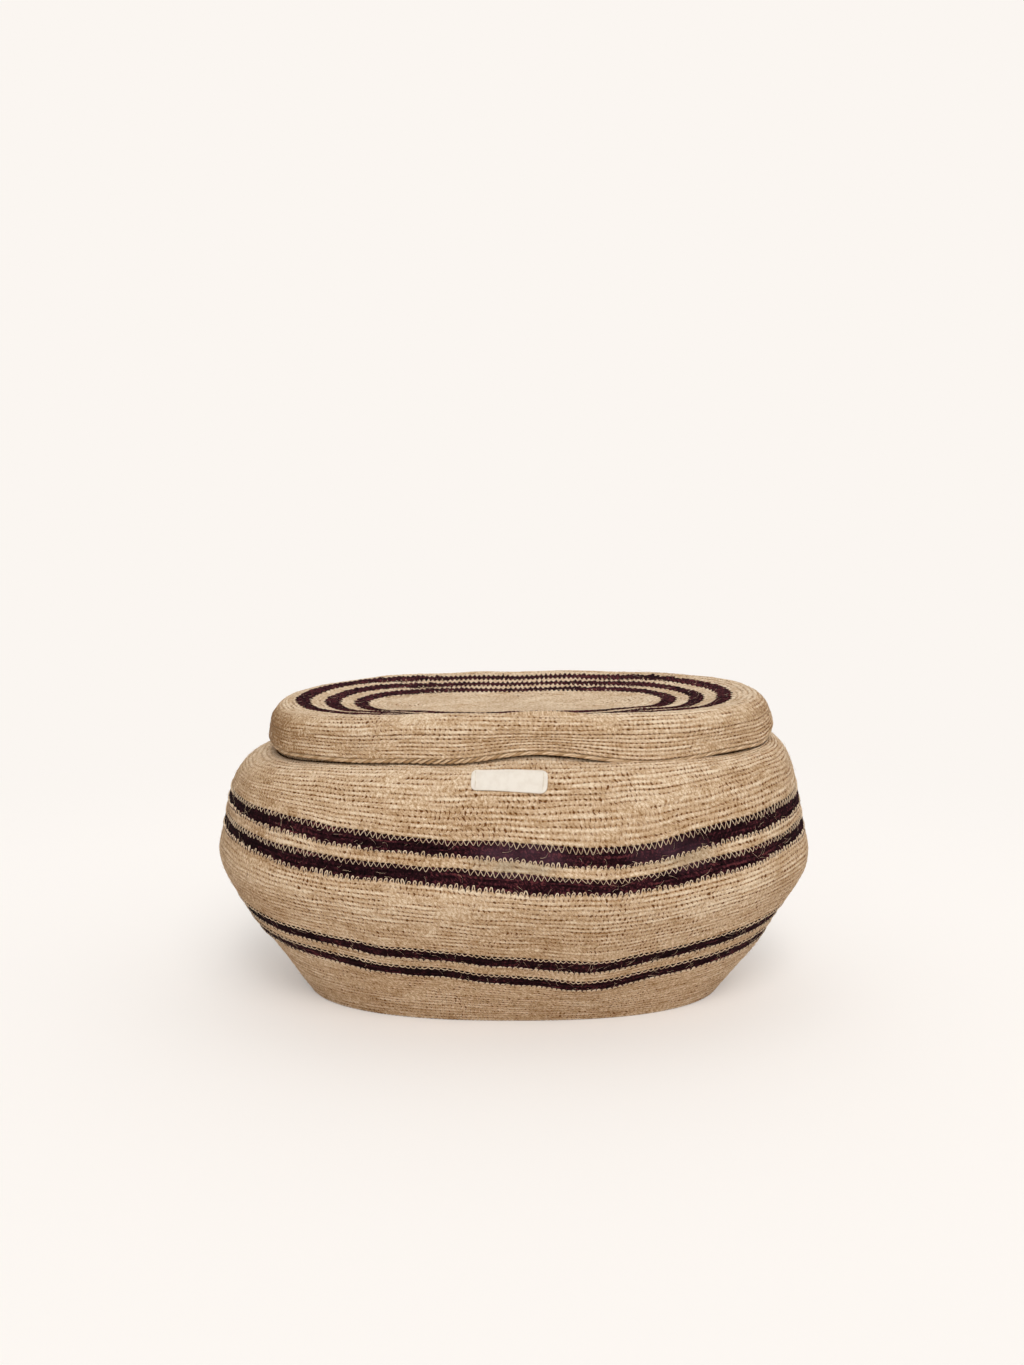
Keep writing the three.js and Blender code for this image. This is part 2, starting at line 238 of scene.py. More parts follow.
row_wander = Ripple(14, 7, 120)
row_shiver = Ripple(14, 40, 30)

# How the rows of the front sag, by length along the wall
SAG_LENGTHS = (0, 62, 100, 156, 186, 214)
SAG = (0, 12, 10.5, 4.6, 10, 0)
SAG_TURN = (3.22, 0.17)  # its middle and half-width
END_SAG = (0, 8, 7, 1.5, 3.3, 0)  # from there to the right end
CLIMB_LENGTHS = (0, 62, 165, 190)
CLIMB = (0, 2.5, 2.5, 0)
CLIMB_TURN = (2.8, 0.14)


def row_rise(length):
    """How far the rows stand above their length at the ends, and below it in the middle."""
    low_middle = (LOW_STRIPES[0] + LOW_STRIPES[3]) / 2
    low = LOW_ROW_RISE * ease(length, 0, low_middle)
    middle = lerp(LOW_ROW_RISE, BELLY_ROW_RISE, ease(length, low_middle, BELLY_STRIPES[0]))
    high = BELLY_ROW_RISE * (1 - ease(length, BELLY_STRIPES[3], WALL.length))
    return np.where(length < low_middle, low, np.where(length < BELLY_STRIPES[3], middle, high))


def wander(turn, length, size):
    return size * (0.7 * row_wander(turn, length) + 0.3 * row_shiver(turn, length))


def front_dip(turn, length):
    """How the rows sag on the right of the front and rise a little on the left of it."""
    turn = turn % 4
    climb = np.interp(length, CLIMB_LENGTHS, CLIMB) * bell(turn, *CLIMB_TURN)
    sag = np.interp(length, SAG_LENGTHS, SAG) * bell(turn, *SAG_TURN)
    right_end = np.where(turn > 2, ease(turn, 3.1, 3.55), 1 - ease(turn, 0, 0.7))
    return climb - sag - np.interp(length, SAG_LENGTHS, END_SAG) * right_end


def between_ends(section, length, reach):
    return ease(length, 0, reach) * ease(section.length - length, 0, reach)


def wall_droop(length):
    full = (BELLY_STRIPES[3] + WALL.length) / 2
    return ease(length, BELLY_STRIPES[3], full)


# Every profile takes a turn and a length, and gives half-length, height, normal and droop
def wall_profile(turn, length):
    share, _ = share_of(turn)
    ends = between_ends(WALL, length, 25)
    risen = length + row_rise(length) * np.cos(PI * share) + wander(turn, length, ends)
    return [*WALL.read(risen + front_dip(turn, length)), wall_droop(length)]


def lid_profile(turn, length):
    ends = between_ends(LID, length, 30)
    return [*LID.read(length + wander(turn, length + 400, 0.6 * ends)), 1]


def collar_profile(turn, length):
    return [*COLLAR.read(length), 1]


def base_profile(turn, length):
    return [*BASE.read(length), 0]


# How use has changed the true shape. A bump is a height, then a middle and a half-width along x,
# and for a round one also along y.
LUMPS, LUMP_LENGTH, LUMP_HEIGHT = 18, 190, 0.2  # soft unevenness of the whole basket
LEAN = 0.0105  # rise of the top for each millimetre to the right
NECK_SHIFT = 5  # of the neck to the right
LID_SHIFTS = (1, 4.5)  # of the middle and the rim of the lid to the right
LID_EDGE_SHIFT = 2.5  # of the right end of its edge, beyond that
LID_EDGE_WAVE = ((6.9, 18, 50), (0.9, -90, 45), (-4.2, 95, 50))  # along the front
LID_EDGE_ENDS = (8.5, 3.4)  # rise of the edge at the right and the left end
LID_END_LIFTS = (3, -1.5)  # of the whole lid at the right and the left end
LID_LEFT_TOP_LIFT = 3.5  # of the dished top at the left end, beyond that
LID_CORNER_DROP = 2.2
LID_LEFT_RIM_DROP = 2.5
LID_BACK_LIFTS = (0.1, 1.5)  # in the middle, and more 150 mm left of it
CREST_BUMP = (2.6, -42, 50, -124, 15)
DISH_BUMPS = (1.6, 105, 28, -62, 20)  # one on each side
DISH_DENT = (-3, 0, 70, -80, 25)
WALL_END_LIFTS = (3, -3.5)  # of the neck at the right and the left end
SHOULDER_LIFTS = (3, 1.1, 2.2)  # at the right end, all round, and in the middle of the front
MOUTH_WAVE = 0.8  # share of the rising part of the edge's wave that the mouth follows
RIGHT_BULGE = (4.5, 45, 22)  # outwards, then its height above the floor and its half-width
LEFT_BULGE = (-2.5, 64, 14)

lump_waves = rng.normal(0, 2 * PI / LUMP_LENGTH, (LUMPS, 3))
lump_starts = rng.uniform(0, 2 * PI, LUMPS)
lump_ways = rng.normal(0, LUMP_HEIGHT, (LUMPS, 3))


def bump(value, size, middle, width):
    return size * bell(value, middle, width)


def round_bump(x, y, size, middle_x, width_x, middle_y, width_y):
    return size * (bell(x, middle_x, width_x) * bell(y, middle_y, width_y))


def edge_wave(x):
    return sum(bump(x, *each) for each in LID_EDGE_WAVE)


def neck_shift(z):
    return NECK_SHIFT * ease(z, 203, 212)


def lid_wear(x, y, z):
    """How far a place on the lid has moved to the right and up."""
    edge = 1 - ease(z, 216, 243)
    top = 1 - edge
    rim = ease(np.hypot(x / LID_END, y / (LID_END - CORE)), 0.86, 0.98)
    inside = top * (1 - rim)
    right = lerp(*LID_SHIFTS, rim) + LID_EDGE_SHIFT * edge * ease(x, 150, 206)
    ends = np.where(x > 0, LID_END_LIFTS[0], LID_END_LIFTS[1] + LID_LEFT_TOP_LIFT * inside)
    lift = LEAN * x + ends * (x / LID_END) ** 2
    lift += ease(-y, 60, 120) * edge_wave(x) * edge
    corner = bell(np.abs(x), 145, 45) * ease(-y, 8, 60)
    lift -= LID_CORNER_DROP * top * corner
    dish = round_bump(np.abs(x), y, *DISH_BUMPS) + round_bump(x, y, *DISH_DENT)
    lift += dish * inside
    lift += round_bump(x, y, *CREST_BUMP) * top
    lift += LID_EDGE_ENDS[0] * edge * ease(x, 185, 212)
    lift += LID_EDGE_ENDS[1] * edge * ease(-x, 180, 208)
    lift -= LID_LEFT_RIM_DROP * rim * top * ease(-x, 110, 205)
    at_back, at_left = LID_BACK_LIFTS
    back = ease(y, -20, 80)
    return right, lift + back * (at_back + at_left * (np.minimum(x, 0) / 150) ** 2)


def wall_wear(x, y, z):
    """How far a place on the basket below the lid has moved to the right and up."""
    front = ease(-y, 60, 120)
    right_end, left_end = ease(x, 120, 215), ease(-x, 120, 215)
    right = neck_shift(z) + bump(z, *RIGHT_BULGE) * right_end + bump(z, *LEFT_BULGE) * left_end
    at_right, all_round, in_front = SHOULDER_LIFTS
    lift = LEAN * x + np.where(x > 0, *WALL_END_LIFTS) * (x / LID_END) ** 2
    lift += at_right * ease(x, 150, 215)
    lift = ease(z, 165, 208) * lift + all_round * ease(z, 200, 210)
    middle = front * (1 - ease(np.abs(x), 120, 185))
    lift += in_front * middle * ease(z, 203, 210)
    wave = np.maximum(edge_wave(x), 0)
    return right, lift + MOUTH_WAVE * front * wave * ease(z, 208, 211)


def settle(x, y, z, on_lid):
    """Leans and dents the true shape as use has done."""
    lumps = np.zeros(x.shape + (3,))
    for wave, start, way in zip(lump_waves, lump_starts, lump_ways):
        lumps += way * np.sin(wave[0] * x + wave[1] * y + wave[2] * z + start)[..., None]
    free = ease(z, 0, 40)
    right, lift = lid_wear(x, y, z) if on_lid else wall_wear(x, y, z)
    return (x + free * lumps[..., 0] + right, y + free * lumps[..., 1],
            np.maximum(z + free * 0.6 * lumps[..., 2] + lift, 0.02))


def drooped_point(x, y, height, droop, on_lid):
    """Points in metres, from their places before the ends droop."""
    z = height - droop * MOUTH_DROOP * (x / LID_END) ** 2
    return stack(*settle(x, y, z, on_lid)) * 0.001


def settled_point(half, height, turn, droop, on_lid):
    """Points in metres, from their place in a section and their turn."""
    return drooped_point(*plan(half - CORE, turn), height, droop, on_lid)


def place(profile, turn, length, lift):
    """Points at a turn and a length along a profile, lifted off its surface."""
    turn, length, lift = np.broadcast_arrays(turn, length, lift)
    half, height, out, up, droop = profile(turn, length)
    return settled_point(half + lift * out, height + lift * up, turn, droop,
                         profile is lid_profile)


def row_steps(profile, length):
    """Turns all round a row, and the steps between their points in metres."""
    turn = np.linspace(0, 4, 801)
    return turn, np.diff(place(profile, turn, float(length), 0), axis=0)


def around(profile, length):
    """Length of the row at a length along a profile."""
    return 1000 * np.linalg.norm(row_steps(profile, length)[1], axis=1).sum()


# Meshes
def add_item(name, data):
    item = bpy.data.objects.new(name, data)
    scene.collection.objects.link(item)
    return item


def add_piece(name, points, corners, uvs, values, look, body, nodes=()):
    """A smooth piece of four-sided faces. uvs and values are named arrays."""
    mesh = bpy.data.meshes.new(name)
    faces = corners.shape[0]
    points = points.reshape(-1, 3)
    mesh.vertices.add(len(points))
    mesh.vertices.foreach_set("co", points.astype(np.float32).ravel())
    mesh.loops.add(faces * 4)
    mesh.loops.foreach_set("vertex_index", corners.astype(np.int32).ravel())
    mesh.polygons.add(faces)
    mesh.polygons.foreach_set("loop_start", np.arange(0, faces * 4, 4, dtype=np.int32))
    for key, uv in uvs.items():
        layer = mesh.uv_layers.new(name=key, do_init=False)
        layer.uv.foreach_set("vector", uv.astype(np.float32).ravel())
    for key, value in values.items():
        attribute = mesh.attributes.new(key, "FLOAT", "POINT")
        attribute.data.foreach_set("value", value.astype(np.float32).ravel())
    mesh.update(calc_edges=True)
    mesh.shade_smooth()
    material, slot = look
    mesh.materials.append(material)
    item = add_item(name, mesh)
    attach(item, body)
    if nodes:
        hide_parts(*nodes)
    return item


def grid_corners(rows, columns, closed):
    """Vertex numbers of the faces of a grid that closes round its columns, and their places."""
    j, i = np.indices((rows if closed else rows - 1, columns)).reshape(2, -1)
    grid_j = stack(j, j, j + 1, j + 1)
    grid_i = stack(i, i + 1, i + 1, i)
    return (grid_j % rows) * columns + grid_i % columns, grid_j, grid_i


def folded_map(grid_j, grid_i, rows, columns, folds):
    """A map of the whole grid without overlaps: the long strip is cut into shorter ones."""
    width = math.ceil(columns / folds)
    strip = grid_i[:, :1] // width
    across = (grid_i - strip * width) / width
    up = grid_j / rows
    return stack(0.004 + 0.992 * across, (strip + 0.01 + 0.98 * up) / folds)


open_ripple = Ripple(26, 34, 16)
open_patches = Ripple(12, 9, 60)
tone_ripple = Ripple(16, 12, 70)

# The zigzag where two colours meet
STRIPE_BOTTOMS = LOW_STRIPES[::2] + BELLY_STRIPES[::2]
STRIPE_TOPS = LOW_STRIPES[1::2] + BELLY_STRIPES[1::2]
LOOP_WIDTH = 4.6  # of the light loops that hang over the top of a stripe
POKE_WIDTH = 4.3  # of the teeth at its bottom
BELLY_TOOTH, LOW_TOOTH = 0.35, 0.3  # half the height of the teeth of the stripes
RING_TOOTH_WIDTH = 4.2  # on the long sides
RING_TOOTH_TIP = 0.6  # where the tip stands within the tooth
RING_TEETH = (1.4, 4.7)  # half the height of the rings' teeth, at the front and at the back
MIDDLE_BACK_LESS = 1.6  # in the very middle of the back
RING_RISE = 0.5  # of the rows of a ring
TURN_STEP = 0.002  # for slopes along the oval
MOST_ROWS = 10  # in one piece
# The openness of the weave at a band's start and its end, where it isn't even
OPENNESS = {"lower_wall": (0.7, 0.4), "belly_wall": (-0.4, 2), "belly_stripe_gap": (1, 1),
            "shoulder_wall": (1.4, 1), "lid_skirt": (1.6, 1.5), "lid_shoulder": (1.5, -1.1)}
CLOSE_WEAVE = (-1.2, -1.2)
PATTERN_OFFSETS = {wall_profile: 0, collar_profile: 300, lid_profile: 400,
                   base_profile: 700}  # a place of its own in the random patterns


def tooth_phase(profile, length, turn, width):
    """Place within a tooth, 0 to 1. The teeth are wider round the ends than along the sides."""
    around_turn, steps = row_steps(profile, length)
    steps = 1000 * np.hypot(steps[:, 0], 0.45 * steps[:, 1])
    passed = np.concatenate([[0], np.cumsum(steps)])
    count = round(passed[-1] / width)
    return (np.interp(turn % 4, around_turn, passed) * count / passed[-1]) % 1


def teeth(profile, edge, turn):
    """How far the stitches of one colour reach into the other along an edge."""
    if profile is wall_profile:
        width = LOOP_WIDTH if edge in STRIPE_TOPS else POKE_WIDTH
        phase = (turn * round(around(profile, edge) / width) / 4) % 1
        size = BELLY_TOOTH if edge in BELLY_STRIPES else LOW_TOOTH
        zigzag = 2 * np.abs(2 * phase - 1) - 1
        return size * zigzag * (0.9 + 0.3 * open_ripple(7 * turn, edge))
    # Both edges of a ring shift together
    ring = RING_LENGTHS.index(edge) // 2
    middle = sum(RING_LENGTHS[2 * ring:2 * ring + 2]) / 2
    phase = tooth_phase(profile, middle, turn, RING_TOOTH_WIDTH)
    before_tip, after_tip = phase / RING_TOOTH_TIP, (1 - phase) / (1 - RING_TOOTH_TIP)
    zigzag = 2 * np.where(phase < RING_TOOTH_TIP, before_tip, after_tip) - 1
    behind = np.sin(turn * PI / 2)
    size = lerp(*RING_TEETH, ease(behind, 0.3, 0.8))
    size = size - MIDDLE_BACK_LESS * ease(behind, 0.86, 0.97)
    return size * zigzag * (0.9 + 0.2 * open_ripple(7 * turn, middle))


def tooth_turn(profile, turn, length, shift):
    """The turn of a tooth's place that has moved along the section by shift. The teeth point
    straight back and forth along the long sides, and outwards at the ends."""
    half = profile(turn, length)[0] - CORE
    moved = profile(turn, length + shift)[0] - CORE
    here = stack(*plan(half, turn))
    along = stack(*plan(half, turn + TURN_STEP)) - here
    step = stack(*plan(moved, turn)) - here
    weight = np.array([1, 0.08])
    slip = (weight * step * along).sum(-1) / (weight * along**2).sum(-1)
    return turn - TURN_STEP * slip


def band_shift(profile, turn, edges, from_edges, toothed, whole):
    """How far the teeth of a band's edges move its rows. The rows of a ring move as a whole."""
    if whole:
        return teeth(profile, edges[1], turn)
    reach = 1 if profile is wall_profile else 1.4
    return sum(np.maximum(0, 1 - from_edge / reach) * teeth(profile, edge, turn)
               for edge, from_edge, has_teeth in zip(edges, from_edges, toothed) if has_teeth)


def near_whole(value):
    """1 at whole numbers, and 0 from 0.3 beside them."""
    return np.maximum(0, 1 - np.minimum(value % 1, 1 - value % 1) / 0.3)


def stitch_relief(u, v, stitches, per_stitch, opened, ripple, deep):
    """The height of the stitches: ridges along the rows, and pits and gaps between stitches."""
    ridge = np.sin(PI * (v % 1)) ** 0.7
    at_gap = near_whole(u)
    chance = np.repeat(rng.uniform(0.35, 1.15, (len(v), stitches)), per_stitch, axis=1)
    chance = np.roll(chance, -(per_stitch // 2), axis=1)
    bead = rng.normal(0, 0.06, (len(v), stitches)).repeat(per_stitch, axis=1)
    pit = 0.8 * deep * near_whole(v) * at_gap * opened * chance
    relief = (0.12 + 0.4 * deep * opened + 0.06 * ripple) * ridge
    relief = relief - 0.5 - 0.4 * (deep - 1) * opened - pit
    return relief - 0.2 * at_gap * ridge + bead * ridge, ridge


def band_tone_and_painted_light(profile, turn, length, offset):
    """A band's random tone with painted light and shade added: rows that face up are painted
    lighter as if lit from above, the two ends are painted with shade where they face outwards,
    the rows under the upper stripes are painted lighter and the shoulder on the right is
    painted with shade."""
    half, _, out, up, _ = profile(turn, length)
    x, _ = plan(half - CORE, turn)
    # Painted shade on the ends where they face outwards, most on the lid, and painted light on rows
    # that face up
    left, right = (23, 11) if profile is lid_profile else (5, 3)
    ends = left * ease(-x, 150, 235) + right * ease(x, 165, 225)
    ripple = tone_ripple(turn, length + offset)
    tone = ripple + 4 * up * np.abs(up) - np.maximum(out, 0) * ends
    if profile is wall_profile:
        # Painted light on the rows under the upper stripes and painted shade on the shoulder on the
        # right
        darker = bell(x, 150, 50) * ease(length, 190, 200)
        tone = tone + 2.2 * bell(length, 138, 18) - 2.2 * darker
    return x, ripple, tone


def stitched_band(name, profile, start, end, rows, look, nodes=()):
    """A closed band of stitched rows. A high one is cut into two pieces."""
    on_lid = profile is lid_profile
    openness = OPENNESS.get(name, CLOSE_WEAVE if on_lid else (0, 0))
    edges = RING_LENGTHS if on_lid else LOW_STRIPES + BELLY_STRIPES
    toothed = start in edges, end in edges
    raised = RING_RISE if on_lid and look is DYED else 0
    offset = PATTERN_OFFSETS[profile]
    plain = profile is base_profile
    parts = PLAIN_ROW_PARTS if plain else FINE_ROW_PARTS
    per_stitch = 7 if on_lid and any(toothed) else 3 if plain else 5
    stitches = round(around(profile, (start + end) / 2) / STITCH)
    columns = stitches * per_stitch
    drift = np.cumsum(rng.uniform(-0.1, 0.34, rows + 1))
    sway = Ripple(10, 30, 14)
    cuts = (0, rows // 2, rows) if rows > MOST_ROWS else (0, rows)
    for number, (first, last) in enumerate(zip(cuts, cuts[1:])):
        outside = [row + part for row in range(first, last) for part in parts] + [last]
        inside = [last - 0.5 * k for k in range(2 * (last - first) + 1)]
        v = np.array(outside + inside, float)[:, None]
        is_outside = (np.arange(len(v)) < len(outside))[:, None]
        u = np.arange(columns) / per_stitch
        length = start + (end - start) * v / rows
        swayed = sway(4 * u / stitches + 0 * v, length)
        slant = np.interp(v, np.arange(rows + 1), drift) + 0.22 * swayed
        turn = 4 * (u + slant) / stitches + 1
        shift = band_shift(profile, turn, (start, end), (v, rows - v), toothed, raised > 0)
        if on_lid and any(toothed):
            turn = tooth_turn(profile, turn, length, shift)
        length = length + shift
        # On the lid a tooth that reaches outwards stands up
        standing = 0.22 * np.maximum(0, -shift) if on_lid else 0
        x, ripple, tone = band_tone_and_painted_light(profile, turn, length, offset)
        # The weave is closest at the left end
        loose = open_ripple(turn, length + offset) + 0.8 * open_patches(turn, length + offset)
        loose += lerp(*openness, v / rows)
        opened = ease(loose, -1.3, 1.2) * (1 - 0.6 * ease(-x, 120, 215))
        deep = 1.4 if on_lid else 1
        relief, ridge = stitch_relief(u, v, stitches, per_stitch, opened, ripple, deep)
        hidden = 0.1 - THICKNESS + 0.5 * (1 - ridge)
        inner = ease(np.minimum(v, rows - v), 0, 0.4)
        lift = np.where(is_outside, relief + raised * inner + standing, hidden)
        points = place(profile, turn, length, lift)
        total = len(v)
        corners, grid_j, grid_i = grid_corners(total, columns, True)
        uvs = {"Rows": stack(grid_i / per_stitch, v[:, 0][grid_j % total]),
               "OFBake": folded_map(grid_j, grid_i, total, columns, 4 if total > 30 else 6)}
        piece = f"{name}_rows_{number + 1}" if rows > MOST_ROWS else f"{name}_rows"
        # The tone value holds the band's random tone and its painted light and shade
        add_piece(piece, points, corners, uvs, {"open": opened, "tone": tone},
                  look, "lid" if on_lid else "basket", nodes or [name])


def add_tubes(name, paths, normals, radii, sides, look, body, nodes=()):
    """Many thin tubes as one piece. paths and normals have the shape tubes, points, 3."""
    tubes, steps, _ = paths.shape
    tangent = unit(np.gradient(paths, axis=1))
    side = unit(np.cross(tangent, normals))
    up = np.cross(side, tangent)
    angle = np.arange(sides) * 2 * PI / sides
    ring = np.cos(angle)[:, None] * side[:, :, None] + np.sin(angle)[:, None] * up[:, :, None]
    points = paths[:, :, None] + ring * radii[..., None, None] * 0.001
    corners, grid_j, grid_i = (grid[:, ::-1] for grid in grid_corners(steps, sides, False))
    shift = (np.arange(tubes) * steps * sides)[:, None, None]
    cells = math.ceil(math.sqrt(tubes))
    local = stack(0.05 + 0.9 * grid_i / sides, 0.04 + 0.92 * grid_j / (steps - 1))
    cell = stack(np.arange(tubes) % cells, np.arange(tubes) // cells)
    bake = (cell[:, None, None, :] + local[None]) / cells
    rows = stack(grid_i / sides + 0 * grid_j, grid_j / (steps - 1))
    rows = rows[None] + 7 * np.arange(tubes)[:, None, None, None]
    tone = np.repeat(rng.normal(0, 1, tubes), steps * sides)
    uvs = {"Rows": rows, "OFBake": bake}
    add_piece(name, points, (corners[None] + shift).reshape(-1, 4), uvs,
              {"tone": tone, "open": np.zeros(len(tone))}, look, body, nodes)


def outward(profile, turn, length):
    """Normals of the surface of a profile."""
    here = place(profile, turn, length, 0)
    ahead = place(profile, turn + TURN_STEP, length, 0) - here
    above = place(profile, turn, length + 0.5, 0) - here
    return unit(np.cross(ahead, above))


# Materials
class Value:
    """An output of a node, with which sums are written as with numbers."""

    def __init__(self, graph, socket):
        self.graph, self.socket = graph, socket

    def __add__(self, other):
        return self.graph.math("ADD", self, other)

    def __sub__(self, other):
        return self.graph.math("SUBTRACT", self, other)

    def __mul__(self, other):
        return self.graph.math("MULTIPLY", self, other)

    def __truediv__(self, other):
        return self.graph.math("DIVIDE", self, other)

    def __pow__(self, other):
        return self.graph.math("POWER", self, other)


class Graph:
    """Shorthand for the nodes of a material or a world."""

    def __init__(self, owner):
        owner.use_nodes = True
        self.owner = owner
        self.tree = owner.node_tree
        self.tree.nodes.clear()

    def node(self, kind, inputs=(), **settings):
        node = self.tree.nodes.new("ShaderNode" + kind)
        for key, value in settings.items():
            setattr(node, key, value)
        pairs = inputs.items() if isinstance(inputs, dict) else enumerate(inputs)
        for key, value in pairs:
            if isinstance(value, Value):
                self.tree.links.new(value.socket, node.inputs[key])
            else:
                node.inputs[key].default_value = value
        return node

    def value(self, kind, inputs=(), output=0, **settings):
        return Value(self, self.node(kind, inputs, **settings).outputs[output])

    def math(self, operation, *values):
        return self.value("Math", values, operation=operation)

    def fold(self, value):
        """How far a value is from the nearest whole number."""
        return self.math("PINGPONG", value, 0.5)

    def split(self, vector):
        return [Value(self, socket) for socket in self.node("SeparateXYZ", (vector,)).outputs]

    def noise(self, vector, scale, detail=2, rough=0.5, kind="3D"):
        inputs = {"Vector": vector, "Scale": scale, "Detail": detail, "Roughness": rough}
        return self.value("TexNoise", inputs, noise_dimensions=kind)

    def strip_noise(self, u, v, scale_u, scale_v, detail, rough=0.5):
        """Noise with a scale of its own along and across the rows."""
        vector = self.value("CombineXYZ", (u * scale_u, v * scale_v))
        return self.noise(vector, 1, detail, rough, "2D")

    def step(self, value, low, high, first=0, second=1):
        inputs = (value, low, high, first, second)
        return self.value("MapRange", inputs, interpolation_type="SMOOTHSTEP")

    def mix(self, factor, first, second):
        return self.value("Mix", {0: factor, 6: first, 7: second}, 2, data_type="RGBA")

    def ramp(self, value, stops):
        node = self.node("ValToRGB", (value,))
        elements = node.color_ramp.elements
        for i, (position, colour) in enumerate(stops):
            element = elements[i] if i < 2 else elements.new(position)
            element.position = position
            element.color = srgb(*colour)
        return Value(self, node.outputs[0])

    def attribute(self, name):
        return self.value("Attribute", output=2, attribute_name=name)

    def rows(self):
        """The map that counts stitches along and rows across."""
        return self.value("UVMap", uv_map="Rows")

    def finish(self, colour, roughness, height, depth, sheen=0, specular=0.25):
        bump = self.value("Bump", {"Strength": 0.8, "Distance": depth, "Height": height})
        inputs = {"Base Color": colour, "Roughness": roughness, "Specular IOR Level": specular,
                  "Sheen Weight": sheen, "Normal": bump}
        self.node("OutputMaterial", (self.value("BsdfPrincipled", inputs),))
        return self.owner


def srgb(*written):
    """A linear colour from a written one, 0 to 255."""
    values = [c / 255 for c in written]
    linear = [c / 12.92 if c <= 0.04045 else ((c + 0.055) / 1.055) ** 2.4 for c in values]
    return (*linear, 1)


def weave_hole_shade(g, u, v, shifted_u, spot, run):
    """The holes between the stitches, painted with the shade inside them. Patches of the weave have
    upright slits, and others have round holes, which come in runs along a row."""
    cell = g.value("CombineXYZ", (g.math("ROUND", u), g.math("ROUND", v)))
    luck = g.value("TexWhiteNoise", (cell,), noise_dimensions="2D")
    style = g.noise(spot, 0.018, 2)
    across = g.fold(shifted_u) / g.step(style, 0.42, 0.56, 0.15, 0.22)
    up = g.fold(v) / g.step(style, 0.42, 0.56, 0.34, 0.19)
    away = g.math("SQRT", across**2 + up**2) * g.step(luck, 0.86, 0.9, 1, 0.7)
    opened = g.step(g.attribute("open"), 0, 0.7) * g.step(run, 0.25, 0.44, 0.35, 1)
    opened *= g.step(luck, 0, 0.5, 0.4, 1)
    return g.step(away, 0.65, 1.2, 1, 0) * opened


def grass_tone(g, u, v, shifted_u, spot, contrast):
    """The tone of the grass, 0 to 1, and the fibres that its relief needs."""
    row = g.math("FLOOR", v)
    crossing = g.strip_noise(u + row * 7.31 + v * 0.5, v, 1.7, 0.6, 2, 0.6)
    fibre = g.strip_noise(u, v, 0.36, 1.7, 3, 0.6)
    streak = g.strip_noise(u, row, 0.11, 5.37, 2)
    speck = g.noise(spot, 0.5, 3, 0.65)
    patch = g.noise(spot, 0.06, 3, 0.5)
    felted = g.noise(spot, 0.9, 2, 0.6)
    loose = g.step(g.attribute("open"), 0.05, 0.7)
    in_rows = (fibre - 0.5) * 0.46 + (streak - 0.5) * 0.28
    all_ways = (crossing - 0.5) * 0.45 + (speck - 0.5) * 0.4 + (felted - 0.5) * 0.36
    total = in_rows * g.step(loose, 0, 1, 0.5, 1.05)
    total = total + all_ways * g.step(loose, 0, 1, 1.5, 0.85)
    # Slanted legs of the stitches, with painted shade in a line between two of them
    line = g.step(g.fold(shifted_u + (v - row) * 0.55), 0.02, 0.2, 1, 0)
    total = total - (line * g.step(crossing, 0.35, 0.6, 0.02, 0.17) - 0.03)
    # The tone attribute adds the random tone and the painted light and shade of the bands
    total = total + (patch - 0.5) * 0.16 + g.attribute("tone") * 0.02
    # Pale strands lie across the weave, and one runs along the middle of many rows: it is kept
    # to the crest of the row and is partly a painted highlight there
    swirl = g.math("ABSOLUTE", g.noise(spot, 0.17, 2, 0.45) - 0.5)
    strand = g.step(swirl, 0, 0.03, 1, 0) * g.step(speck, 0.45, 0.6)
    pale = g.step(g.strip_noise(u, row, 0.07, 3.37, 1), 0.44, 0.6)
    pale = pale * g.step(loose, 0, 1, 0.3, 1) * g.step(g.fold(v), 0.2, 0.36, 0, 0.1)
    total = total + strand * 0.14 + (pale - 0.015)
    return total * (2.1 * contrast) + 0.5, fibre, felted


# Greyish patches painted on the upper stripes of the front: middle,
# half-width and strength
GREY_PATCHES = ((4, 46, 1), (118, 42, 0.7))


def grey_patches(g, spot):
    x, y, z = g.split(spot)
    up = ((z - 149) / 16) ** 2
    first, second = [g.step(((x - middle) / width) ** 2 + up, 0, 1, strength, 0)
                     for middle, width, strength in GREY_PATCHES]
    cloud = g.step(g.noise(spot, 0.06, 3), 0.3, 0.6, 0.45, 1)
    return (first + second) * cloud * g.step(y, -120, -90, 1, 0)


